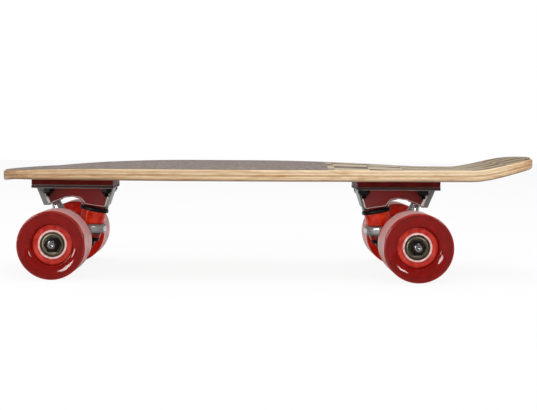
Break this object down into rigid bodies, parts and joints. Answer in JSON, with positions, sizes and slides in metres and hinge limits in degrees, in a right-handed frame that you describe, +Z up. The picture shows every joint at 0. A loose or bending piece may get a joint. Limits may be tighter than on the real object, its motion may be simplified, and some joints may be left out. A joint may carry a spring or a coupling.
{
  "type": "cruiser skateboard",
  "caption": "A short wooden cruiser board with a kicked tail and a gritted top, on two sprung steering trucks with soft translucent wheels.",
  "frame": {"origin": "On the ground, under the middle of the board's length and width.", "axes": "+X runs along the board to the kicked tail, +Y to the right side, +Z up."},
  "size_m": [0.489, 0.175, 0.1075],
  "materials": {
    "maple_ply": "clear gloss lacquer over laminated maple edges",
    "grip": "fine mineral grit",
    "black_steel": "black oxide steel, slightly oily",
    "riser": "cast dark red urethane, smooth",
    "polished_aluminium": "cast and polished",
    "cup_plastic": "moulded",
    "steel": "bright zinc plate",
    "bushing_urethane": "clear orange-red urethane, glossy",
    "wheel_urethane": "clear red urethane, glossy sides and frosted tread",
    "core_plastic": "moulded translucent orange-red nylon",
    "bearing_steel": "ground rings and a pressed shield"
  },
  "bodies": {
    "board": {"deck": "maple_ply", "grip_tape": "grip", "front_deck_bolt_1": "black_steel", "front_lock_nut_1": "black_steel", "front_deck_bolt_2": "black_steel", "front_lock_nut_2": "black_steel", "front_deck_bolt_3": "black_steel", "front_lock_nut_3": "black_steel", "front_deck_bolt_4": "black_steel", "front_lock_nut_4": "black_steel", "rear_deck_bolt_1": "black_steel", "rear_lock_nut_1": "black_steel", "rear_deck_bolt_2": "black_steel", "rear_lock_nut_2": "black_steel", "rear_deck_bolt_3": "black_steel", "rear_lock_nut_3": "black_steel", "rear_deck_bolt_4": "black_steel", "rear_lock_nut_4": "black_steel", "front_riser_pad": "riser", "front_baseplate": "polished_aluminium", "front_pivot_cup": "cup_plastic", "front_kingpin": "steel", "front_kingpin_nut": "steel", "front_top_washer": "black_steel", "front_top_bushing": "bushing_urethane", "front_bottom_bushing": "bushing_urethane", "front_bottom_washer": "black_steel", "rear_riser_pad": "riser", "rear_baseplate": "polished_aluminium", "rear_pivot_cup": "cup_plastic", "rear_kingpin": "steel", "rear_kingpin_nut": "steel", "rear_top_washer": "black_steel", "rear_top_bushing": "bushing_urethane", "rear_bottom_bushing": "bushing_urethane", "rear_bottom_washer": "black_steel"},
    "front_truck": {"front_hanger": "polished_aluminium", "front_axle": "steel", "front_left_axle_nut": "black_steel", "front_right_axle_nut": "black_steel"},
    "front_left_wheel": {"front_left_tyre": "wheel_urethane", "front_left_core": "core_plastic", "front_left_bearing_outer": "bearing_steel", "front_left_bearing_inner": "bearing_steel"},
    "front_right_wheel": {"front_right_tyre": "wheel_urethane", "front_right_core": "core_plastic", "front_right_bearing_outer": "bearing_steel", "front_right_bearing_inner": "bearing_steel"},
    "rear_truck": {"rear_hanger": "polished_aluminium", "rear_axle": "steel", "rear_left_axle_nut": "black_steel", "rear_right_axle_nut": "black_steel"},
    "rear_left_wheel": {"rear_left_tyre": "wheel_urethane", "rear_left_core": "core_plastic", "rear_left_bearing_outer": "bearing_steel", "rear_left_bearing_inner": "bearing_steel"},
    "rear_right_wheel": {"rear_right_tyre": "wheel_urethane", "rear_right_core": "core_plastic", "rear_right_bearing_outer": "bearing_steel", "rear_right_bearing_inner": "bearing_steel"}
  },
  "joints": [
    {"name": "front_steer", "type": "hinge", "parent": "board", "child": "front_truck", "pos_m": [-0.1983, 0, 0.065], "axis": [-0.7827, 0, 0.6224], "range_deg": [-14, 14], "stiffness_Nm_per_rad": 40, "deforming": ["front_top_bushing", "front_bottom_bushing"]},
    {"name": "front_left_roll", "type": "hinge", "parent": "front_truck", "child": "front_left_wheel", "pos_m": [-0.1871, -0.0655, 0.03], "axis": [0, 1, 0], "continuous": true},
    {"name": "front_right_roll", "type": "hinge", "parent": "front_truck", "child": "front_right_wheel", "pos_m": [-0.1871, 0.0655, 0.03], "axis": [0, 1, 0], "continuous": true},
    {"name": "rear_steer", "type": "hinge", "parent": "board", "child": "rear_truck", "pos_m": [0.1417, 0, 0.065], "axis": [0.7827, 0, 0.6224], "range_deg": [-14, 14], "stiffness_Nm_per_rad": 40, "deforming": ["rear_top_bushing", "rear_bottom_bushing"]},
    {"name": "rear_left_roll", "type": "hinge", "parent": "rear_truck", "child": "rear_left_wheel", "pos_m": [0.1305, -0.0655, 0.03], "axis": [0, 1, 0], "continuous": true},
    {"name": "rear_right_roll", "type": "hinge", "parent": "rear_truck", "child": "rear_right_wheel", "pos_m": [0.1305, 0.0655, 0.03], "axis": [0, 1, 0], "continuous": true}
  ]
}
